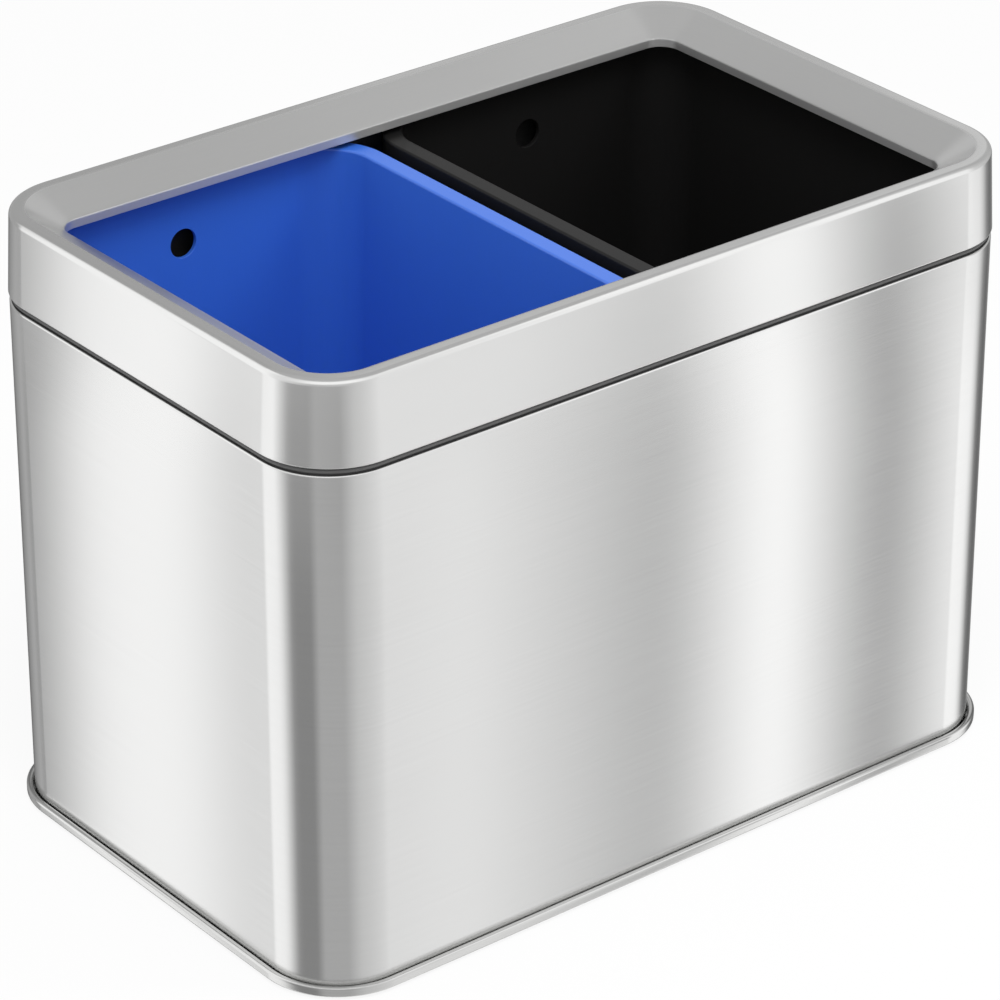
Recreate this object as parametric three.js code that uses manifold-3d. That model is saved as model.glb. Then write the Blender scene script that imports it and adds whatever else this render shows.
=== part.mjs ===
// Double recycling bin: a brushed steel body, a lift-off steel top frame and two moulded bins that
// stand side by side inside. Millimetres, +Z up, +X along the length, -Y to the front. The origin
// is on the ground under the middle of the body.
import * as THREE from 'three';
import { mergeVertices } from 'three/addons/utils/BufferGeometryUtils.js';
import Module from 'manifold-3d';

const wasm = await Module();
wasm.setup();

// Body: the steel wrap, whose plan gives every other piece its outline.
const bodyLength = 392;
const bodyDepth = 243;
const bodyCornerRadius = 35.2;
const bodyHeight = 247.6;
const sheet = 0.8;
const bodyHem = 8;
const lapWidth = 9;
const lapClearance = 4;
const seamWidth = 0.9;
const seamDepth = 0.4;

// Base pan: its edge is rolled round the foot of the body into a proud ledge.
const footStandout = 1.2;
const baseReach = 3.7;
const baseHeight = 4.7;
const baseSheet = 1.2;
const baseEdgeRadius = 1.2;
const baseFloorRise = 3.6;
const ledgeGap = 0.35;

// Feet: round anti-slip pads in the hollow under the pan.
const footRadius = 9;
const footInset = 30;
const footChamfer = 0.6;

// Top frame: a leaning skirt, a narrow flat rim, a panel that slopes down inwards, and a lip.
const seamHeight = 3.2;
const frameHeight = 39;
const frameProud = 0.4;
const frameLean = THREE.MathUtils.degToRad(2.9);
const frameEdgeRadius = 3;
const frameHem = 8;
const rimInset = 8.3;
const rimBendRadius = 2.5;
const openingInset = 25.1;
const slopeDrop = 10.3;
const foldRadius = 1;
const lipDrop = 4.1;

// Locating ring: a moulded collar fixed in the frame, whose tapered end plugs into the body. Its
// upper part lines the frame's skirt and shows in the gap between the bins.
const ringWall = 1.7;
const ringRise = 15;
const ringDepth = 15.6;
const ringBeadRecess = 0.6;
const ringLeadIn = 2;

// Bins: moulded buckets with drafted walls and a flat rim that is turned down and ribbed.
const binGap = 8.4;
const binPlay = 1.4;
const binHeadroom = 2.9;
const binCornerRadius = 32;
const binWall = 2;
const binDraft = 5.5;
const binRimWidth = 9;
const binRimThickness = 2.2;
const binEdgeRadius = 1.2;
const skirtDrop = 10;
const skirtWall = 1.8;
const ribThickness = 1.6;
const ribsPerSide = 3;
const binFloor = 2.2;
const binFloorFillet = 8;
const binFootWidth = 6;
const binFootRise = 1;
const bagHoleRadius = 6.85;
const bagHoleDrop = 26.6;

// Clearance between pieces that rest on or plug into each other.
const fitGap = 0.3;

// Fineness: flats to a quarter turn in plan and in section, and flats round a round piece.
const planSteps = 10;
const sectionSteps = 4;
const roundSteps = 32;
const tightestCorner = 2;

// Heights above the ground, from the bottom up.
const panBottom = footStandout;
const panChannel = panBottom + baseSheet;
const panFloor = panChannel + baseFloorRise;
const panLedge = panBottom + baseHeight;
const bodyBottom = panChannel + fitGap;
const bodyTop = panBottom + bodyHeight;
const frameBottom = bodyTop + seamHeight;
const frameTop = frameBottom + frameHeight;
const lipBottom = frameTop - slopeDrop - lipDrop;
const ringBottom = bodyTop - ringDepth;
const ringTop = frameBottom + ringRise;
const binTop = lipBottom - binHeadroom;
const binBottom = panFloor + fitGap;

// Distances outside the body's face, negative inwards.
const panInside = -sheet - fitGap;
const ringOutside = -2 * sheet - fitGap;
const ringInside = ringOutside - ringWall;

// Plans: rectangles with round corners. The two bins share the room inside the locating ring.
const bodyPlan = {
  centreX: 0,
  halfLength: bodyLength / 2,
  halfDepth: bodyDepth / 2,
  cornerRadius: bodyCornerRadius,
};
const binOuterEnd = bodyPlan.halfLength + ringInside - binPlay;
const binHalfLength = (binOuterEnd - binGap / 2) / 2;
const binPlan = (side) => ({
  centreX: side * (binGap / 2 + binHalfLength),
  halfLength: binHalfLength,
  halfDepth: bodyPlan.halfDepth + ringInside - binPlay,
  cornerRadius: binCornerRadius,
});

// A plan's outline, moved outside it by a distance.
function outline(plan, outside) {
  const radius = Math.max(plan.cornerRadius + outside, tightestCorner);
  const arcX = plan.halfLength + outside - radius;
  const arcY = plan.halfDepth + outside - radius;
  const arcCentres = [[arcX, arcY], [-arcX, arcY], [-arcX, -arcY], [arcX, -arcY]];
  return arcCentres.flatMap(([x, y], corner) => (
    Array.from({ length: planSteps + 1 }, (_, step) => {
      const angle = (corner + step / planSteps) * Math.PI / 2;
      return new THREE.Vector2(
        plan.centreX + x + radius * Math.cos(angle),
        y + radius * Math.sin(angle),
      );
    })
  ));
}

// Sweeps a section round a plan. A section point's x is its distance outside the plan, and its y
// is its height. A closed section makes a hoop. An open one is capped flat at both ends.
function sweepRound(plan, section, closed) {
  const rings = section.map((point) => outline(plan, point.x));
  const perRing = rings[0].length;
  const positions = rings.flatMap((ring, level) => (
    ring.flatMap((point) => [point.x, point.y, section[level].y])
  ));
  const triangles = [];
  const bands = closed ? rings.length : rings.length - 1;
  for (let level = 0; level < bands; level += 1) {
    const here = level * perRing;
    const next = ((level + 1) % rings.length) * perRing;
    for (let index = 0; index < perRing; index += 1) {
      const after = (index + 1) % perRing;
      triangles.push([here + index, here + after, next + after]);
      triangles.push([here + index, next + after, next + index]);
    }
  }
  if (!closed) {
    const last = (rings.length - 1) * perRing;
    THREE.ShapeUtils.triangulateShape(rings[0], [])
      .forEach(([a, b, c]) => triangles.push([c, b, a]));
    THREE.ShapeUtils.triangulateShape(rings[rings.length - 1], [])
      .forEach(([a, b, c]) => triangles.push([last + a, last + b, last + c]));
  }
  return facingOut(positions, triangles);
}

// A closed mesh whose faces point outwards, whichever way round its section was drawn.
function facingOut(positions, triangles) {
  const corner = (index) => new THREE.Vector3().fromArray(positions, index * 3);
  const sixVolumes = triangles.reduce(
    (sum, [a, b, c]) => sum + corner(a).dot(corner(b).cross(corner(c))),
    0,
  );
  const order = sixVolumes < 0 ? ([a, b, c]) => [a, c, b] : (triangle) => triangle;
  const geometry = new THREE.BufferGeometry();
  geometry.setAttribute('position', new THREE.Float32BufferAttribute(positions, 3));
  geometry.setIndex(triangles.flatMap(order));
  return geometry;
}

// The points of a drawn path, without those that repeat the one before.
function pathPoints(path) {
  const points = path.getPoints(sectionSteps / 2);
  return points.filter((point, index) => point.distanceTo(points.at(index - 1)) > Number.EPSILON);
}

// One face of a bent sheet: a line of { x, y, bend } corners with its bends rounded.
function bentLine(corners) {
  return corners.flatMap(({ x, y, bend }, index) => {
    const corner = new THREE.Vector2(x, y);
    if (!bend) {
      return [corner];
    }
    const towards = (other) => new THREE.Vector2(other.x, other.y).sub(corner).normalize();
    const back = towards(corners[index - 1]);
    const onwards = towards(corners[index + 1]);
    const halfAngle = Math.acos(back.dot(onwards)) / 2;
    const setback = bend / Math.tan(halfAngle);
    const centre = back.clone().add(onwards).setLength(bend / Math.sin(halfAngle));
    const start = back.multiplyScalar(setback).sub(centre);
    const end = onwards.multiplyScalar(setback).sub(centre);
    const turn = Math.atan2(start.cross(end), start.dot(end));
    const steps = Math.max(2, Math.round(Math.abs(turn) / (Math.PI / 2) * sectionSteps));
    return Array.from({ length: steps + 1 }, (_, step) => (
      start.clone().rotateAround(new THREE.Vector2(), turn * step / steps).add(centre).add(corner)
    ));
  });
}

// The other face of a bent sheet, on the left of its line.
function otherFace(line, thickness) {
  const directions = line.slice(1).map((point, index) => point.clone().sub(line[index]).normalize());
  return line.map((point, index) => {
    const arriving = directions[Math.max(index - 1, 0)];
    const leaving = directions[Math.min(index, directions.length - 1)];
    const along = arriving.clone().add(leaving).normalize();
    const leftwards = new THREE.Vector2(-along.y, along.x);
    return leftwards.multiplyScalar(thickness / along.dot(leaving)).add(point);
  });
}

// A closed mesh as a solid for joining and cutting, and back.
function toSolid(geometry) {
  const bare = geometry.clone();
  bare.deleteAttribute('normal');
  bare.deleteAttribute('uv');
  const merged = mergeVertices(bare);
  return new wasm.Manifold(new wasm.Mesh({
    numProp: 3,
    vertProperties: merged.attributes.position.array,
    triVerts: Uint32Array.from(merged.index.array),
  }));
}

function fromSolid(solid) {
  const { vertProperties, triVerts } = solid.getMesh();
  const geometry = new THREE.BufferGeometry();
  geometry.setAttribute('position', new THREE.BufferAttribute(vertProperties, 3));
  geometry.setIndex(new THREE.BufferAttribute(triVerts, 1));
  return geometry;
}

function block(sizeX, sizeY, sizeZ, x, y, z) {
  return toSolid(new THREE.BoxGeometry(sizeX, sizeY, sizeZ).translate(x, y, z));
}

// Body: one sheet wrapped round the plan, with its top edge folded inwards into a hem. Its two ends
// meet in the middle of the back, over a lap strip inside.
function bodyShell() {
  const section = new THREE.Path();
  section.moveTo(0, bodyBottom);
  section.lineTo(0, bodyTop - sheet);
  section.absarc(-sheet, bodyTop - sheet, sheet, 0, Math.PI, false);
  section.lineTo(-2 * sheet, bodyTop - bodyHem);
  section.lineTo(-sheet, bodyTop - bodyHem);
  section.lineTo(-sheet, bodyBottom);
  const wrap = toSolid(sweepRound(bodyPlan, pathPoints(section), true));

  const back = bodyPlan.halfDepth;
  const lapBottom = panFloor + lapClearance;
  const lapTop = ringBottom - lapClearance;
  const lapInside = back - 2 * sheet;
  const lapOutside = back - sheet / 2;
  const lap = block(
    lapWidth, lapOutside - lapInside, lapTop - lapBottom,
    0, (lapInside + lapOutside) / 2, (lapBottom + lapTop) / 2,
  );
  const seamTop = bodyTop - bodyHem;
  const seam = block(seamWidth, 2 * seamDepth, seamTop, 0, back, seamTop / 2);
  return fromSolid(wrap.add(lap).subtract(seam));
}

// Base pan: a raised floor whose edge turns down inside the body, runs out under it and comes up
// round it as a rolled ledge.
function basePan() {
  const round = baseEdgeRadius;
  const nose = Math.min(round, baseSheet);
  const wallInside = panInside - baseSheet;
  const rollInside = baseReach - baseSheet;
  const section = new THREE.Path();
  section.moveTo(wallInside - baseSheet, panFloor);
  section.lineTo(panInside - round, panFloor);
  section.absarc(panInside - round, panFloor - round, round, Math.PI / 2, 0, true);
  section.lineTo(panInside, panChannel);
  section.lineTo(rollInside, panChannel);
  section.lineTo(rollInside, panLedge - baseSheet);
  section.lineTo(ledgeGap, panLedge - baseSheet);
  section.lineTo(ledgeGap, panLedge - nose);
  section.absarc(ledgeGap + nose, panLedge - nose, nose, Math.PI, Math.PI / 2, true);
  section.lineTo(baseReach - round, panLedge);
  section.absarc(baseReach - round, panLedge - round, round, Math.PI / 2, 0, true);
  section.lineTo(baseReach, panBottom + round);
  section.absarc(baseReach - round, panBottom + round, round, 0, -Math.PI / 2, true);
  section.lineTo(wallInside, panBottom);
  section.lineTo(wallInside, panFloor - baseSheet);
  section.lineTo(wallInside - baseSheet, panFloor - baseSheet);
  return sweepRound(bodyPlan, pathPoints(section), false);
}

// Foot: a round pad with a chamfered tread, just clear of the pan above it.
function footPad() {
  const height = panFloor - baseSheet - fitGap;
  const profile = [
    new THREE.Vector2(0, 0),
    new THREE.Vector2(footRadius - footChamfer, 0),
    new THREE.Vector2(footRadius, footChamfer),
    new THREE.Vector2(footRadius, height),
    new THREE.Vector2(0, height),
  ];
  const pad = new THREE.LatheGeometry(profile, roundSteps).rotateX(Math.PI / 2);
  return fromSolid(toSolid(pad));
}

// Top frame: one sheet drawn over the edge, down the slope and over the fold into the lip. Its
// bottom edge is folded inwards into a hem, which sits on the locating ring.
function topFrame() {
  const leanOver = (height) => height * Math.tan(frameLean);
  const face = bentLine([
    { x: frameProud - leanOver(sheet), y: frameBottom + sheet },
    { x: frameProud - leanOver(frameHeight), y: frameTop, bend: frameEdgeRadius },
    { x: -rimInset, y: frameTop, bend: rimBendRadius },
    { x: -openingInset, y: frameTop - slopeDrop, bend: foldRadius },
    { x: -openingInset, y: lipBottom },
  ]);
  const underside = otherFace(face, sheet).slice(1).reverse();
  const hem = [
    { x: frameProud - sheet - leanOver(frameHem), y: frameBottom + frameHem },
    { x: frameProud - 2 * sheet - leanOver(frameHem), y: frameBottom + frameHem },
  ];
  const fold = Array.from({ length: sectionSteps }, (_, step) => {
    const angle = Math.PI * (1 + step / sectionSteps);
    return {
      x: frameProud - leanOver(sheet) - sheet + sheet * Math.cos(angle),
      y: frameBottom + sheet + sheet * Math.sin(angle),
    };
  });
  return sweepRound(bodyPlan, [...face, ...underside, ...hem, ...fold], true);
}

// Locating ring: its bead fills the seam between the frame and the body and rests on the body.
function locatingRing() {
  const section = [
    { x: ringInside, y: ringBottom },
    { x: ringOutside - ringWall / 2, y: ringBottom },
    { x: ringOutside, y: ringBottom + ringLeadIn },
    { x: ringOutside, y: bodyTop + fitGap },
    { x: -ringBeadRecess, y: bodyTop + fitGap },
    { x: -ringBeadRecess, y: frameBottom - fitGap },
    { x: ringOutside, y: frameBottom - fitGap },
    { x: ringOutside, y: ringTop },
    { x: ringInside, y: ringTop },
  ];
  return sweepRound(bodyPlan, section, true);
}

// The section of a bin, from the floor inside, up the wall, over the rim and its turned-down
// skirt, and down the outside to the foot ring that the bin stands on.
function binSection() {
  const edge = binEdgeRadius;
  const wallTop = -binRimWidth;
  const wallBottom = wallTop - binDraft;
  const floorTop = binBottom + binFootRise + binFloor;
  const outerFillet = binFloorFillet + binWall;
  const filletInside = wallBottom - binFloorFillet;
  const section = new THREE.Path();
  section.moveTo(filletInside - binWall, floorTop);
  section.lineTo(filletInside, floorTop);
  section.absarc(filletInside, floorTop + binFloorFillet, binFloorFillet, -Math.PI / 2, 0, false);
  section.lineTo(wallTop, binTop - edge);
  section.absarc(wallTop + edge, binTop - edge, edge, Math.PI, Math.PI / 2, true);
  section.lineTo(-edge, binTop);
  section.absarc(-edge, binTop - edge, edge, Math.PI / 2, 0, true);
  section.lineTo(0, binTop - skirtDrop);
  section.lineTo(-skirtWall, binTop - skirtDrop);
  section.lineTo(-skirtWall, binTop - binRimThickness);
  section.lineTo(wallTop + binWall, binTop - binRimThickness);
  section.lineTo(wallBottom + binWall, binBottom + outerFillet);
  section.absarc(filletInside, binBottom + outerFillet, outerFillet, 0, -Math.PI / 2, true);
  section.lineTo(filletInside - binFootWidth, binBottom);
  section.lineTo(filletInside - binFootWidth, binBottom + binFootRise);
  return pathPoints(section);
}

// Ribs that brace the turned-down rim against the wall, spread along the straight of each side.
function rimRibs(plan) {
  const fromSkirt = skirtWall / 2;
  const fromWall = binRimWidth - binWall / 2;
  const reach = fromWall - fromSkirt;
  const inset = (fromSkirt + fromWall) / 2;
  const ribTop = binTop - binRimThickness / 2;
  const ribBottom = binTop - skirtDrop + binEdgeRadius;
  const height = ribTop - ribBottom;
  const z = (ribTop + ribBottom) / 2;
  const places = (halfSide) => {
    const pitch = 2 * (halfSide - plan.cornerRadius) / ribsPerSide;
    return Array.from({ length: ribsPerSide }, (_, k) => (k - (ribsPerSide - 1) / 2) * pitch);
  };
  return [-1, 1].flatMap((side) => [
    ...places(plan.halfLength).map((along) => block(
      ribThickness, reach, height,
      plan.centreX + along, side * (plan.halfDepth - inset), z,
    )),
    ...places(plan.halfDepth).map((along) => block(
      reach, ribThickness, height,
      plan.centreX + side * (plan.halfLength - inset), along, z,
    )),
  ]);
}

// Bin: the ribbed moulding, with a round hole in its back wall that takes the slack of the bag.
function bin(plan) {
  const moulding = toSolid(sweepRound(plan, binSection(), false));
  const ribbed = rimRibs(plan).reduce((solid, rib) => solid.add(rib), moulding);
  const wallMiddle = plan.halfDepth - binRimWidth + binWall / 2;
  const drill = toSolid(
    new THREE.CylinderGeometry(bagHoleRadius, bagHoleRadius, 3 * binWall, roundSteps)
      .translate(plan.centreX, wallMiddle, binTop - bagHoleDrop),
  );
  return fromSolid(ribbed.subtract(drill));
}

const steel = (roughness) => new THREE.MeshStandardMaterial({ color: 0xc9cac9, roughness, metalness: 1 });
const plastic = (color, roughness) => new THREE.MeshStandardMaterial({ color, roughness, metalness: 0 });

const recyclingBin = new THREE.Group();
recyclingBin.name = 'double_recycling_bin';

function addPiece(name, geometry, material) {
  const piece = new THREE.Mesh(geometry, material);
  piece.name = name;
  recyclingBin.add(piece);
  return piece;
}

addPiece('body_shell', bodyShell(), steel(0.32));
addPiece('base_pan', basePan(), steel(0.4));
addPiece('locating_ring', locatingRing(), plastic(0x4a4b4c, 0.5));
addPiece('top_frame', topFrame(), steel(0.38));
addPiece('blue_bin', bin(binPlan(-1)), plastic(0x3870da, 0.4));
addPiece('black_bin', bin(binPlan(1)), plastic(0x101011, 0.4));
[['front', -1], ['back', 1]].forEach(([row, rowSide]) => {
  [['left', -1], ['right', 1]].forEach(([end, endSide]) => {
    addPiece(`foot_${row}_${end}`, footPad(), plastic(0x1b1b1c, 0.8)).position.set(
      endSide * (bodyPlan.halfLength - footInset),
      rowSide * (bodyPlan.halfDepth - footInset),
      0,
    );
  });
});

export default recyclingBin;
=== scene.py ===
import math

import bpy
import numpy as np
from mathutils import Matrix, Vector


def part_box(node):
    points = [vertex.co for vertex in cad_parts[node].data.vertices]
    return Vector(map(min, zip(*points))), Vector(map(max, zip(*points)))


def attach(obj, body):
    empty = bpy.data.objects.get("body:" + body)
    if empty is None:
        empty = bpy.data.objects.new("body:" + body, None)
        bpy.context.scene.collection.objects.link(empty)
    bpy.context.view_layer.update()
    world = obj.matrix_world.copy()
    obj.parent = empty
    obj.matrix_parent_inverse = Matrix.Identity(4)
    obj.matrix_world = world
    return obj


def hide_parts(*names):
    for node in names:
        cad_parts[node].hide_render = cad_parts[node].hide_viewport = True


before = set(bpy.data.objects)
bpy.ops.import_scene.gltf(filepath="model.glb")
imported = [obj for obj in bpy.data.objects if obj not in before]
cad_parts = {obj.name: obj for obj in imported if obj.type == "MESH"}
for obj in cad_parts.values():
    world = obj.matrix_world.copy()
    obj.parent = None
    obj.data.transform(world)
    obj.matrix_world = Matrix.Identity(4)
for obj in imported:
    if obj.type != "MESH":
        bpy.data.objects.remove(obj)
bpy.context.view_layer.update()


# ---------------------------------------------------------------------------------------------
# Body: one sheet of 0.8 mm stainless steel, brushed along its length and wrapped round a plan
# with round corners. Its top edge is folded inwards into a hem, and its two ends meet in the
# middle of the back, over a lap strip.
# ---------------------------------------------------------------------------------------------

body_end, body_back, body_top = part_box("body_shell")[1]
body_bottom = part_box("body_shell")[0][2]
body_corner, tightest_corner = 0.0352, 0.002
sheet, body_hem = 0.0008, 0.008
lap_width, lap_clearance = 0.009, 0.004
seam_width, seam_depth = 0.0009, 0.0004
body_plan = (0.0, body_end, body_back, body_corner)


def outline(plan, outside, steps=24):
    """A plan's outline moved outside it, from the middle of the back round by the left."""
    centre, half_length, half_depth, corner = plan
    radius = max(corner + outside, tightest_corner)
    arc_x, arc_y = half_length + outside - radius, half_depth + outside - radius
    points = [(centre, half_depth + outside)]
    arc_centres = [(-arc_x, arc_y), (-arc_x, -arc_y), (arc_x, -arc_y), (arc_x, arc_y)]
    for turn, (x, y) in enumerate(arc_centres):
        for step in range(steps + 1):
            angle = (turn + 1 + step / steps) * math.pi / 2
            points.append((centre + x + radius * math.cos(angle), y + radius * math.sin(angle)))
    return points


def arc(centre_out, centre_up, radius, start, end, steps=8):
    """Points of a round edge in a section, with its angles in degrees."""
    angles = np.radians(np.linspace(start, end, steps + 1))
    return [(centre_out + radius * math.cos(a), centre_up + radius * math.sin(a)) for a in angles]


def swept(name, plan, section, closed=True):
    """A section of (outside, height) points swept round a plan. An open one has a flat at each end."""
    rings = [outline(plan, outside) for outside, height in section]
    count = len(rings[0])
    verts = [(x, y, height) for ring, (outside, height) in zip(rings, section) for x, y in ring]
    along = [0.0]
    for a, b in zip(rings[0], rings[0][1:] + rings[0][:1]):
        along.append(along[-1] + math.dist(a, b))
    up = [0.0]
    for a, b in zip(section, section[1:] + section[:1]):
        up.append(up[-1] + math.dist(a, b))
    faces, places = [], []
    for level in range(len(section) if closed else len(section) - 1):
        here, above = level * count, (level + 1) % len(section) * count
        for i in range(count):
            after = (i + 1) % count
            faces.append((here + i, here + after, above + after, above + i))
            places.append([(along[i], up[level]), (along[i + 1], up[level]),
                           (along[i + 1], up[level + 1]), (along[i], up[level + 1])])
    if not closed:
        last = (len(section) - 1) * count
        for flat in (list(range(count))[::-1], list(range(last, last + count))):
            faces.append(flat)
            places.append([verts[i][:2] for i in flat])
    mesh = bpy.data.meshes.new(name)
    mesh.from_pydata(verts, [], faces)
    layer = mesh.uv_layers.new(name="metres")
    for face, corners in zip(mesh.polygons, places):
        for loop, place in zip(face.loop_indices, corners):
            layer.data[loop].uv = place
    mesh.polygons.foreach_set("use_smooth", [True] * len(mesh.polygons))
    made = bpy.data.objects.new(name, mesh)
    bpy.context.scene.collection.objects.link(made)
    bpy.context.view_layer.objects.active = made
    made.select_set(True)
    bpy.ops.object.mode_set(mode="EDIT")
    bpy.ops.mesh.select_all(action="SELECT")
    bpy.ops.mesh.normals_make_consistent(inside=False)
    bpy.ops.object.mode_set(mode="OBJECT")
    made.select_set(False)
    return made


def softened(piece, width):
    """Takes the sharpness off a piece's cut edges and keeps its flats flat."""
    edge = piece.modifiers.new("edges", "BEVEL")
    edge.width, edge.segments, edge.limit_method, edge.angle_limit = width, 2, "ANGLE", math.radians(40)
    piece.modifiers.new("flats", "WEIGHTED_NORMAL")


def cut_away(piece, tool, operation="DIFFERENCE"):
    """Cuts a tool's shape out of a piece, or joins it on, and removes the tool."""
    step = piece.modifiers.new("cut", "BOOLEAN")
    step.operation, step.object, step.solver = operation, tool, "EXACT"
    bpy.context.view_layer.objects.active = piece
    bpy.ops.object.modifier_apply(modifier=step.name)
    bpy.data.objects.remove(tool)


def bar(size, place):
    """A plain block of that size, with its middle at that place."""
    bpy.ops.mesh.primitive_cube_add(size=1, location=place)
    made = bpy.context.object
    made.scale = size
    bpy.ops.object.transform_apply(location=False, rotation=False, scale=True)
    made.data.polygons.foreach_set("use_smooth", [True] * 6)
    return made


class Socket:
    """An output in a material's node tree. Sums on it add Math nodes to that tree."""

    def __init__(self, tree, output=None):
        self.tree, self.output = tree, output

    def node(self, kind, settings, inputs, output=0):
        """Any other node, made from its type, its settings and its inputs' values or links."""
        made = self.tree.nodes.new(kind)
        for name, value in settings.items():
            setattr(made, name, value)
        for name, value in inputs.items():
            if isinstance(value, Socket):
                self.tree.links.new(value.output, made.inputs[name])
            else:
                made.inputs[name].default_value = value
        return Socket(self.tree, made.outputs[output] if made.outputs else None)

    def math(self, operation, *values):
        return self.node("ShaderNodeMath", {"operation": operation}, dict(enumerate(values)))

    def __add__(self, other):
        return self.math("ADD", self, other)

    def __sub__(self, other):
        return self.math("SUBTRACT", self, other)

    def __rsub__(self, other):
        return self.math("SUBTRACT", other, self)

    def __mul__(self, other):
        return self.math("MULTIPLY", self, other)

    __radd__ = __add__
    __rmul__ = __mul__

    def stretched(self, across, along):
        """A place on the sheet, counted in grains of that many a metre across and along."""
        return self.node("ShaderNodeVectorMath", {"operation": "MULTIPLY"}, {
            0: self, 1: (along, across, 1.0)})

    def across_from(self, start, end):
        """0 up to one distance across the sheet and 1 beyond another."""
        across = self.node("ShaderNodeSeparateXYZ", {}, {0: self}, 1)
        return self.node("ShaderNodeMapRange", {}, {0: across, 1: start, 2: end})

    def noise(self, detail=2.0, roughness=0.5):
        return self.node("ShaderNodeTexNoise", {}, {
            "Vector": self, "Scale": 1.0, "Detail": detail, "Roughness": roughness})

    def shade(self, low, high):
        """A mix of two colours, by this value."""
        return self.node("ShaderNodeMix", {"data_type": "RGBA"}, {
            0: self, 6: (*low, 1), 7: (*high, 1)}, 2)

    def bumped(self, depth):
        """A normal from this height, which is worth that depth in metres."""
        return self.node("ShaderNodeBump", {}, {"Height": self, "Distance": depth, "Strength": 1.0})


def new_finish(name, constants):
    """A material whose own sockets hold the constants, and its tree as a socket."""
    material = bpy.data.materials.new(name)
    material.use_nodes = True
    shader = material.node_tree.nodes["Principled BSDF"]
    for socket, value in constants.items():
        shader.inputs[socket].default_value = value
    return material, Socket(material.node_tree)


def feed(material, **values):
    """Links the values that vary over a surface to the material's shader."""
    shader = material.node_tree.nodes["Principled BSDF"]
    for name, value in values.items():
        material.node_tree.links.new(value.output, shader.inputs[name.replace("_", " ")])


brushed_steel, tree = new_finish("brushed_steel", {
    "Metallic": 1.0, "Anisotropic": 0.85, "Anisotropic Rotation": 0.25})
place = tree.node("ShaderNodeUVMap", {"uv_map": "metres"}, {})
fine_grain = place.stretched(across=2400, along=30).noise(detail=3.0, roughness=0.6)
long_grain = place.stretched(across=700, along=6).noise()
cloud = place.stretched(across=14, along=9).noise()
brushing = fine_grain * 0.5 + long_grain * 0.3 + cloud * 0.2
feed(brushed_steel,
     Base_Color=brushing.shade(low=(0.685, 0.685, 0.68), high=(0.775, 0.775, 0.77)),
     Roughness=0.12 + fine_grain * 0.06 + cloud * 0.02,
     Normal=(fine_grain * 0.6 + long_grain * 0.4).bumped(depth=0.000002))

body = swept("steel_body", body_plan, [
    (0.0, body_bottom), (0.0, body_top - sheet),
    *arc(-sheet, body_top - sheet, sheet, 0, 180, 12)[1:],
    (-2 * sheet, body_top - body_hem), (-sheet, body_top - body_hem), (-sheet, body_bottom)])
lap_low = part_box("base_pan")[1][2] + lap_clearance
lap_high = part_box("locating_ring")[0][2] - lap_clearance
lap_inside, lap_outside = body_back - 2 * sheet, body_back - sheet / 2
cut_away(body, bar((lap_width, lap_outside - lap_inside, lap_high - lap_low),
                   (0, (lap_inside + lap_outside) / 2, (lap_low + lap_high) / 2)), "UNION")
seam_top = body_top - body_hem
cut_away(body, bar((seam_width, 2 * seam_depth, seam_top), (0, body_back, seam_top / 2)))
softened(body, width=0.00015)
body.data.materials.append(brushed_steel)
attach(body, "body")
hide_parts("body_shell")


# ---------------------------------------------------------------------------------------------
# Base pan: a pressed steel floor. Its edge turns down inside the body, runs out under it and is
# rolled up round the body's foot, which leaves a proud ledge.
# ---------------------------------------------------------------------------------------------

pan_bottom, pan_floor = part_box("base_pan")[0][2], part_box("base_pan")[1][2]
pan_sheet, pan_round, pan_gap = 0.0012, 0.0012, 0.0003
ledge_height, ledge_gap, ledge_round = 0.0047, 0.00045, 0.0016
pan_channel, pan_ledge = pan_bottom + pan_sheet, pan_bottom + ledge_height
pan_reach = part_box("base_pan")[1][0] - body_end
pan_inside = -sheet - pan_gap
wall_inside = pan_inside - pan_sheet

base_pan = swept("base_pan_and_ledge", body_plan, [
    (wall_inside - pan_sheet, pan_floor),
    *arc(pan_inside - pan_round, pan_floor - pan_round, pan_round, 90, 0),
    (pan_inside, pan_channel), (pan_reach - pan_sheet, pan_channel),
    (pan_reach - pan_sheet, pan_ledge - pan_sheet),
    *arc(ledge_gap + ledge_round, pan_ledge - ledge_round, ledge_round, 180, 90),
    *arc(pan_reach - pan_round, pan_ledge - pan_round, pan_round, 90, 0),
    *arc(pan_reach - pan_round, pan_bottom + pan_round, pan_round, 0, -90),
    (wall_inside, pan_bottom), (wall_inside, pan_floor - pan_sheet),
    (wall_inside - pan_sheet, pan_floor - pan_sheet)], closed=False)
softened(base_pan, width=0.00012)

satin_steel, tree = new_finish("satin_pressed_steel", {
    "Metallic": 1.0, "Anisotropic": 0.5, "Anisotropic Rotation": 0.25})
place = tree.node("ShaderNodeUVMap", {"uv_map": "metres"}, {})
grain = place.stretched(across=1800, along=60).noise(roughness=0.6)
cloud = place.stretched(across=20, along=20).noise(detail=3.0)
feed(satin_steel,
     Base_Color=(grain * 0.5 + cloud * 0.5).shade(low=(0.60, 0.60, 0.595), high=(0.74, 0.74, 0.73)),
     Roughness=0.15 + cloud * 0.06,
     Normal=grain.bumped(depth=0.000003))
base_pan.data.materials.append(satin_steel)
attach(base_pan, "body")
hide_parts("base_pan")


# ---------------------------------------------------------------------------------------------
# Feet: four round anti-slip pads of black rubber, stuck in the hollow under the pan. They keep
# their solids, with their seams joined, and get a fine matt grain.
# ---------------------------------------------------------------------------------------------

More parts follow.
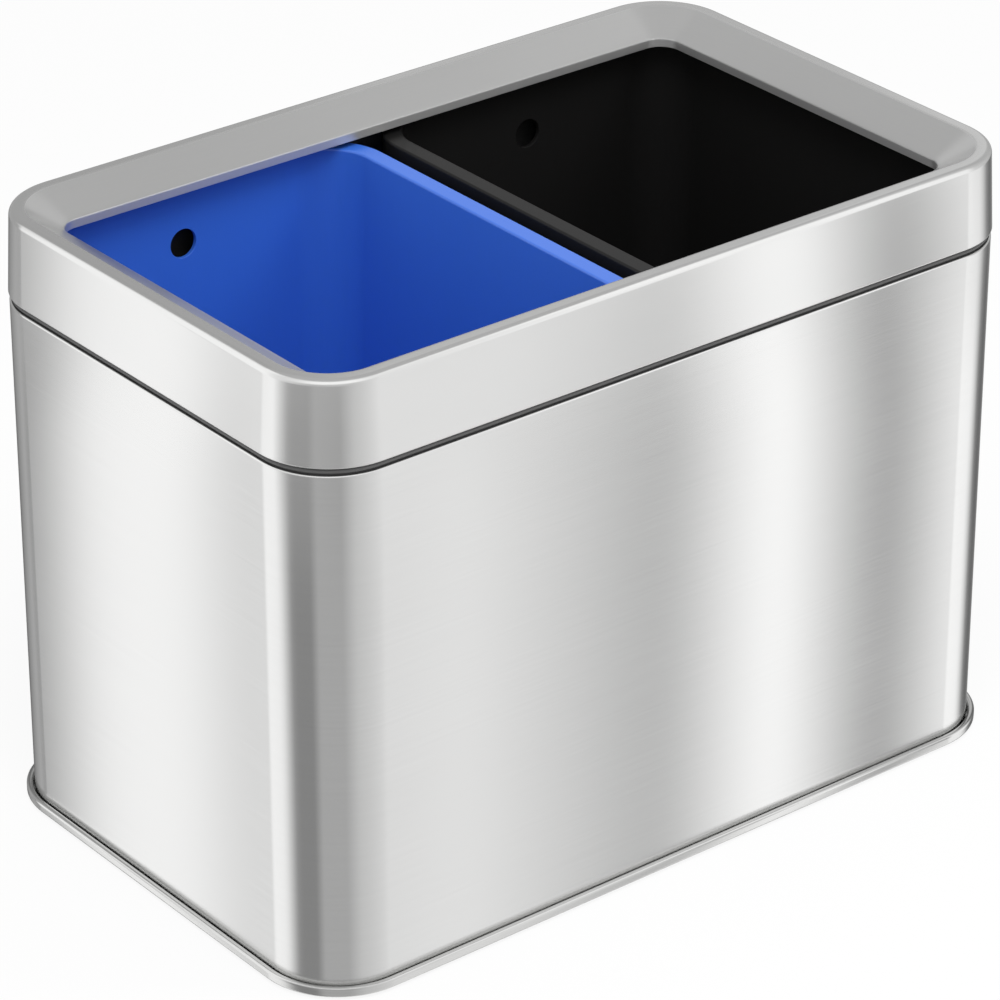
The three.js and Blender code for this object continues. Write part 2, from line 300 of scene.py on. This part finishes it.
matt_rubber, tree = new_finish("matt_rubber", {"Specular IOR Level": 0.3})
place = tree.node("ShaderNodeTexCoord", {}, {}, "Object")
grain = place.stretched(across=900, along=900).noise(detail=3.0, roughness=0.6)
feed(matt_rubber,
     Base_Color=grain.shade(low=(0.012, 0.012, 0.012), high=(0.030, 0.030, 0.031)),
     Roughness=0.72 + grain * 0.2,
     Normal=grain.bumped(depth=0.00003))
for row in ("front", "back"):
    for end in ("left", "right"):
        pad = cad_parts[f"foot_{row}_{end}"]
        pad.modifiers.new("joined", "WELD").merge_threshold = 0.000001
        pad.modifiers.new("flats", "WEIGHTED_NORMAL")
        pad.data.materials.clear()
        pad.data.materials.append(matt_rubber)


# ---------------------------------------------------------------------------------------------
# Locating ring: a grey moulded collar fixed in the frame. Its rounded bead fills the seam between
# frame and body, and its tapered spigot plugs into the body. The lower part of the spigot's inner
# face is painted near black: painted shade behind the bins' bag holes.
# ---------------------------------------------------------------------------------------------

frame_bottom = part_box("top_frame")[0][2]
ring_bottom, ring_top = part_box("locating_ring")[0][2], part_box("locating_ring")[1][2]
ring_gap, ring_wall, ring_lead_in = 0.0003, 0.0017, 0.0020
bead_recess, bead_round = 0.0007, 0.0011
ring_outside = -2 * sheet - ring_gap
ring_inside = ring_outside - ring_wall
ring_tip = ring_outside - ring_wall / 2
bead_middle = -bead_recess - bead_round
seam_low, seam_high = body_top + ring_gap, frame_bottom - ring_gap
seam_middle = (seam_low + seam_high) / 2

ring = swept("seam_and_locating_ring", body_plan, [
    (ring_inside, ring_bottom), (ring_tip, ring_bottom), (ring_outside, ring_bottom + ring_lead_in),
    (ring_outside, seam_low), (bead_middle, seam_low),
    *arc(bead_middle, seam_middle, bead_round, -75, 75),
    (bead_middle, seam_high), (ring_outside, seam_high),
    (ring_outside, ring_top), (ring_inside, ring_top)])
softened(ring, width=0.0002)

grey_plastic_and_painted_shade, tree = new_finish("grey_moulded_plastic_and_painted_shade", {"Specular IOR Level": 0.5})
place = tree.node("ShaderNodeUVMap", {"uv_map": "metres"}, {})
grain = place.stretched(across=1500, along=1500).noise(roughness=0.6)
# Past 0.048 to 0.052 m round the section, the spigot's inner face is painted near black as painted
# shade.
spigot_painted_shade = place.across_from(start=0.048, end=0.052)
greyness_and_painted_shade = grain * 0.3 + (1 - spigot_painted_shade) * 0.7
feed(grey_plastic_and_painted_shade,
     Base_Color=greyness_and_painted_shade.shade(low=(0.01, 0.01, 0.01), high=(0.115, 0.115, 0.115)),
     Roughness=0.42 + grain * 0.12,
     Normal=grain.bumped(depth=0.00001))
ring.data.materials.append(grey_plastic_and_painted_shade)
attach(ring, "frame")
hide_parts("locating_ring")


# ---------------------------------------------------------------------------------------------
# Top frame: one sheet of satin steel, drawn from the leaning skirt over a rounded edge to a
# narrow flat rim, then down a sloping panel and over a fold into a short lip. Its bottom edge is
# folded inwards into a hem.
# ---------------------------------------------------------------------------------------------

frame_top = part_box("top_frame")[1][2]
frame_proud, frame_lean, frame_hem = 0.0004, math.radians(2.9), 0.008
rim_inset, opening_inset, slope_drop, lip_drop = 0.0083, 0.0251, 0.0103, 0.0041
edge_bend, rim_bend, fold_bend = 0.0030, 0.0025, 0.0010


def bent(corners, steps=8):
    """A line of (outside, height, bend radius) corners with its bends rounded."""
    line = []
    for i, (x, y, bend) in enumerate(corners):
        if not bend:
            line.append((x, y))
            continue
        corner = np.array((x, y))
        back = np.array(corners[i - 1][:2]) - corner
        onwards = np.array(corners[i + 1][:2]) - corner
        back, onwards = back / np.linalg.norm(back), onwards / np.linalg.norm(onwards)
        half = math.acos(back @ onwards) / 2
        middle = (back + onwards) / np.linalg.norm(back + onwards)
        centre = corner + middle * bend / math.sin(half)
        start, end = (corner + way * bend / math.tan(half) - centre for way in (back, onwards))
        first = math.atan2(start[1], start[0])
        turn = math.atan2(start[0] * end[1] - start[1] * end[0], start @ end)
        line += arc(*centre, bend, math.degrees(first), math.degrees(first + turn), steps)
    return line


def other_face(line, thickness):
    """The other face of a bent sheet, on the left of its line."""
    points = np.array(line)
    ways = np.diff(points, axis=0)
    ways /= np.linalg.norm(ways, axis=1)[:, None]
    before, after = np.vstack([ways[:1], ways]), np.vstack([ways, ways[-1:]])
    middle = before + after
    middle /= np.linalg.norm(middle, axis=1)[:, None]
    reach = thickness / (middle * after).sum(axis=1)
    return [tuple(p) for p in points + np.column_stack([-middle[:, 1], middle[:, 0]]) * reach[:, None]]


def lean_over(height):
    return height * math.tan(frame_lean)


frame_face = bent([
    (frame_proud - lean_over(sheet), frame_bottom + sheet, 0),
    (frame_proud - lean_over(frame_top - frame_bottom), frame_top, edge_bend),
    (-rim_inset, frame_top, rim_bend),
    (-opening_inset, frame_top - slope_drop, fold_bend),
    (-opening_inset, frame_top - slope_drop - lip_drop, 0)])
hem_outside = frame_proud - sheet
hem_inside = hem_outside - sheet
top_frame = swept("steel_top_frame", body_plan, [
    *frame_face, *other_face(frame_face, sheet)[:0:-1],
    (hem_outside - lean_over(frame_hem), frame_bottom + frame_hem),
    (hem_inside - lean_over(frame_hem), frame_bottom + frame_hem),
    *arc(hem_outside - lean_over(sheet), frame_bottom + sheet, sheet, 180, 360, 10)[:-1]])
softened(top_frame, width=0.00012)

frame_steel, tree = new_finish("satin_frame_steel", {
    "Metallic": 1.0, "Anisotropic": 0.8, "Anisotropic Rotation": 0.25})
place = tree.node("ShaderNodeUVMap", {"uv_map": "metres"}, {})
fine_grain = place.stretched(across=2600, along=40).noise(roughness=0.6)
cloud = place.stretched(across=30, along=10).noise()
on_slope = place.across_from(start=0.041, end=0.045)
on_lip = place.across_from(start=0.061, end=0.063)
brushing = fine_grain * 0.5 + cloud * 0.5
feed(frame_steel,
     Base_Color=brushing.shade(low=(0.70, 0.70, 0.695), high=(0.76, 0.76, 0.755)),
     Roughness=0.16 + fine_grain * 0.03 + cloud * 0.01 + on_slope * 0.12 + on_lip * 0.14,
     Normal=fine_grain.bumped(depth=0.000001))
top_frame.data.materials.append(frame_steel)
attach(top_frame, "frame")
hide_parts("top_frame")


# ---------------------------------------------------------------------------------------------
# Inner bins: two loose buckets from one mould, blue and black. The drafted wall turns out into
# a flat rim with a ribbed skirt, and a round hole in the back wall takes the slack of the bag.
# ---------------------------------------------------------------------------------------------

bin_corner, bin_wall, bin_draft = 0.0320, 0.0020, 0.0055
rim_width, rim_thick, rim_round = 0.0090, 0.0022, 0.0012
skirt_drop, skirt_wall, rib_thick = 0.0100, 0.0018, 0.0016
floor_fillet, foot_width, foot_rise, floor_thick = 0.0080, 0.0060, 0.0010, 0.0022
hole_radius, hole_drop = 0.00685, 0.0266


def moulded_bin(name, node):
    """One bin: the swept moulding with its ribs joined on and its bag hole cut."""
    (bin_left, _, bin_bottom), (bin_right, bin_back, bin_top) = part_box(node)
    centre, bin_half = (bin_left + bin_right) / 2, (bin_right - bin_left) / 2
    fillet_out = -rim_width - bin_draft - floor_fillet
    floor_top = bin_bottom + foot_rise + floor_thick
    made = swept(name, (centre, bin_half, bin_back, bin_corner), [
        (fillet_out - bin_wall, floor_top),
        *arc(fillet_out, floor_top + floor_fillet, floor_fillet, -90, 0, 10),
        *arc(rim_round - rim_width, bin_top - rim_round, rim_round, 180, 90),
        *arc(-rim_round, bin_top - rim_round, rim_round, 90, 0),
        (0.0, bin_top - skirt_drop), (-skirt_wall, bin_top - skirt_drop),
        (-skirt_wall, bin_top - rim_thick), (bin_wall - rim_width, bin_top - rim_thick),
        *arc(fillet_out, bin_bottom + floor_fillet + bin_wall, floor_fillet + bin_wall, 0, -90, 10),
        (fillet_out - foot_width, bin_bottom),
        (fillet_out - foot_width, bin_bottom + foot_rise)], closed=False)
    rib_outside, rib_inside = skirt_wall / 2, rim_width - bin_wall / 2
    rib_top, rib_low = bin_top - rim_thick / 2, bin_top - skirt_drop + rim_round
    reach, height = rib_inside - rib_outside, rib_top - rib_low
    middle, level = (rib_inside + rib_outside) / 2, (rib_top + rib_low) / 2
    for way in (-1, 1):
        for k in (-1, 0, 1):
            x = centre + k * 2 * (bin_half - bin_corner) / 3
            y = k * 2 * (bin_back - bin_corner) / 3
            for size, place in (
                    ((rib_thick, reach, height), (x, way * (bin_back - middle), level)),
                    ((reach, rib_thick, height), (centre + way * (bin_half - middle), y, level))):
                cut_away(made, bar(size, place), "UNION")
    bpy.ops.mesh.primitive_cylinder_add(
        vertices=64, radius=hole_radius, depth=3 * bin_wall, rotation=(math.pi / 2, 0, 0),
        location=(centre, bin_back - rim_width + bin_wall / 2, bin_top - hole_drop))
    cut_away(made, bpy.context.object)
    softened(made, width=0.00025)
    return made


def moulded_finish(name, low, high, gloss):
    """Semi-matt moulded plastic with a fine spark-eroded grain."""
    material, tree = new_finish(name, {"Specular IOR Level": gloss})
    place = tree.node("ShaderNodeTexCoord", {}, {}, "Object")
    grain = place.stretched(across=1300, along=1300).noise(detail=3.0, roughness=0.6)
    cloud = place.stretched(across=12, along=12).noise()
    feed(material,
         Base_Color=(grain * 0.4 + cloud * 0.6).shade(low, high),
         Roughness=0.27 + grain * 0.10 + cloud * 0.05,
         Normal=grain.bumped(depth=0.000012))
    return material


for name, low, high, gloss in (
        ("blue_bin", (0.037, 0.156, 0.675), (0.047, 0.180, 0.755), 0.90),
        ("black_bin", (0.0100, 0.0097, 0.0097), (0.0150, 0.0147, 0.0147), 0.20)):
    made = moulded_bin(f"{name}_moulding", name)
    made.data.materials.append(moulded_finish(f"{name}_plastic", low, high, gloss))
    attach(made, name)
    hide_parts(name)


# ---------------------------------------------------------------------------------------------
# Studio: a plain pale floor, a white background, a tent of soft light panels that only shows in
# reflections, two lamps, and the camera.
# ---------------------------------------------------------------------------------------------

def bare_tree(owner):
    """The emptied node tree of a material or of the world, as a socket."""
    owner.use_nodes = True
    owner.node_tree.nodes.clear()
    return Socket(owner.node_tree)


# How bright the soft panels of the tent are, by their bearing in degrees from the right end round
# by the back. The low ones show in the body, the skirt ones in the frame's skirt, the level ones
# in the two ends of its sloping panel, and the high ones in its edges and its flat rim.
tent_reach, tent_step, roof_hole = 0.25, 0.004, 0.01
low_panels = [
    (-180, 1.00), (-170, 0.35), (-166, 0.30), (-154, 0.30), (-148, 0.50), (-129, 0.50), (-118, 0.70),
    (-90, 0.90), (-78, 1.05), (-68, 0.80), (-61, 0.55), (-53, 1.45), (-46, 0.35), (-41, 1.25),
    (-27, 1.20), (-22, 0.95), (-14, 0.25), (-5, 0.15), (6, 0.25), (20, 0.85), (60, 0.60),
    (100, 0.10), (128, 0.50), (137, 0.35), (141, 1.25), (147, 1.25), (151, 0.75), (158, 1.20),
    (175, 1.15), (180, 1.00)]
skirt_panels = [
    (-180, 0.95), (-170, 0.45), (-166, 0.40), (-154, 0.40), (-148, 0.50), (-129, 0.45), (-118, 0.70),
    (-90, 1.00), (-76, 1.00), (-69, 0.90), (-62, 0.75), (-56, 1.25), (-53, 1.30), (-47, 0.40),
    (-41, 1.15), (-27, 1.05), (-22, 0.85), (-14, 0.30), (-5, 0.15), (6, 0.30), (20, 0.85),
    (60, 0.60), (100, 0.15), (128, 0.50), (138, 0.45), (142, 1.20), (149, 1.25), (152, 0.85),
    (158, 1.15), (175, 1.20), (180, 0.95)]
level_panels = [
    (-180, 1.00), (-165, 0.80), (-150, 0.60), (-118, 0.70), (-95, 0.95), (-75, 1.15), (-45, 1.20),
    (-35, 0.80), (0, 0.50), (40, 0.45), (62, 0.40), (100, 0.45), (136, 0.45), (142, 1.20),
    (165, 1.20), (180, 1.00)]
high_panels = [
    (-180, 0.90), (-165, 1.00), (-150, 1.25), (-115, 1.25), (-95, 1.05), (-75, 1.05), (-62, 1.25),
    (-42, 1.20), (-32, 0.70), (-12, 0.55), (7, 0.55), (16, 0.75), (23, 0.70), (30, 0.60), (50, 0.65),
    (60, 0.65), (67, 0.50), (86, 0.45), (128, 0.45), (140, 1.20), (160, 1.20), (180, 0.90)]
overhead = [(-180, 0.55), (180, 0.55)]
verts, glows = [], []
corner_points = outline(body_plan, tent_reach, steps=60)
fine_points = []
for (x0, y0), (x1, y1) in zip(corner_points, corner_points[1:] + corner_points[:1]):
    parts = max(1, round(math.hypot(x1 - x0, y1 - y0) / tent_step))
    fine_points += [(x0 + (x1 - x0) * k / parts, y0 + (y1 - y0) * k / parts) for k in range(parts)]
tent_rows = (
    (-1.0, low_panels, 1.0), (0.06, low_panels, 1.0), (0.11, skirt_panels, 1.0),
    (0.20, skirt_panels, 1.0), (0.24, level_panels, 1.0), (0.35, level_panels, 1.0),
    (0.40, high_panels, 1.0), (0.72, high_panels, 1.0), (0.84, overhead, 1.0),
    (1.10, overhead, 1.0), (1.10, overhead, roof_hole))
for height, panels, spread in tent_rows:
    for x, y in fine_points:
        verts.append((x * spread, y * spread, height))
        glows.append(float(np.interp(math.degrees(math.atan2(y, x)), *zip(*panels))))
count = len(fine_points)
mesh = bpy.data.meshes.new("tent_wall")
mesh.from_pydata(verts, [], [
    (level * count + i, level * count + (i + 1) % count,
     (level + 1) * count + (i + 1) % count, (level + 1) * count + i)
    for level in range(len(tent_rows) - 1) for i in range(count)])
mesh.attributes.new("glow", "FLOAT", "POINT").data.foreach_set("value", glows)
wall = bpy.data.objects.new("tent_wall", mesh)
bpy.context.scene.collection.objects.link(wall)
tent_glow = bpy.data.materials.new("tent_wall_glow")
tree = bare_tree(tent_glow)
glow = tree.node("ShaderNodeAttribute", {"attribute_name": "glow"}, {}, "Fac")
tree.node("ShaderNodeOutputMaterial", {}, {
    "Surface": tree.node("ShaderNodeEmission", {}, {"Color": glow, "Strength": 1.0})})
mesh.materials.append(tent_glow)
wall.visible_camera = wall.visible_diffuse = wall.visible_shadow = False
wall.visible_transmission = wall.visible_volume_scatter = False

bpy.ops.mesh.primitive_plane_add(size=12, location=(0, 0, 0))
floor = bpy.context.object
floor.name = "floor"
floor_whiteness = 0.88
pale = bpy.data.materials.new("pale_floor")
tree = bare_tree(pale)
seen = tree.node("ShaderNodeLightPath", {}, {}, "Is Camera Ray")
matt = tree.node("ShaderNodeBsdfDiffuse", {}, {"Color": (0.9, 0.9, 0.9, 1)})
white = tree.node("ShaderNodeEmission", {}, {"Color": (1, 1, 1, 1), "Strength": 1.0})
tree.node("ShaderNodeOutputMaterial", {}, {
    "Surface": tree.node("ShaderNodeMixShader", {}, {0: seen * floor_whiteness, 1: matt, 2: white})})
floor.data.materials.append(pale)
floor.visible_glossy = False

world = bpy.data.worlds.new("studio")
bpy.context.scene.world = world
tree = bare_tree(world)
paths = tree.node("ShaderNodeLightPath", {}, {}, "Is Camera Ray")
glossy = Socket(world.node_tree, paths.output.node.outputs["Is Glossy Ray"])
through = Socket(world.node_tree, paths.output.node.outputs["Is Transmission Ray"])
shown = tree.math("MAXIMUM", paths, tree.math("MAXIMUM", glossy, through))
ambient = 0.68
sky = tree.node("ShaderNodeBackground", {}, {
    "Color": (1, 1, 1, 1), "Strength": ambient + shown * (1 - ambient)})
tree.node("ShaderNodeOutputWorld", {}, {"Surface": sky})

for name, size, place, aim, watts in (
        ("top_lamp", 0.9, (-0.5, -0.7, 1.9), (0, 0, 0.2), 17),
        ("side_lamp", 0.6, (0.9, -0.9, 1.4), (0, 0, 0.28), 5)):
    light = bpy.data.lights.new(name, "AREA")
    light.size, light.energy = size, watts
    lamp = bpy.data.objects.new(name, light)
    bpy.context.scene.collection.objects.link(lamp)
    lamp.location = place
    lamp.visible_glossy = False
    way = np.array(aim, float) - np.array(place, float)
    flat = math.hypot(way[0], way[1])
    lamp.rotation_euler = (math.atan2(flat, -way[2]), 0, math.atan2(way[1], way[0]) - math.pi / 2)

camera = bpy.data.cameras.new("photo_camera")
camera.sensor_width, camera.lens = 36.0, 173.1
camera.clip_start, camera.clip_end = 0.1, 50.0
seen_from = bpy.data.objects.new("photo_camera", camera)
bpy.context.scene.collection.objects.link(seen_from)
seen_from.location = (-1.192, -1.491, 1.1416)
seen_from.rotation_euler = (math.radians(90 - 27.90), 0, math.radians(-38.55))
bpy.context.scene.camera = seen_from
bpy.context.scene.view_settings.view_transform = "Standard"
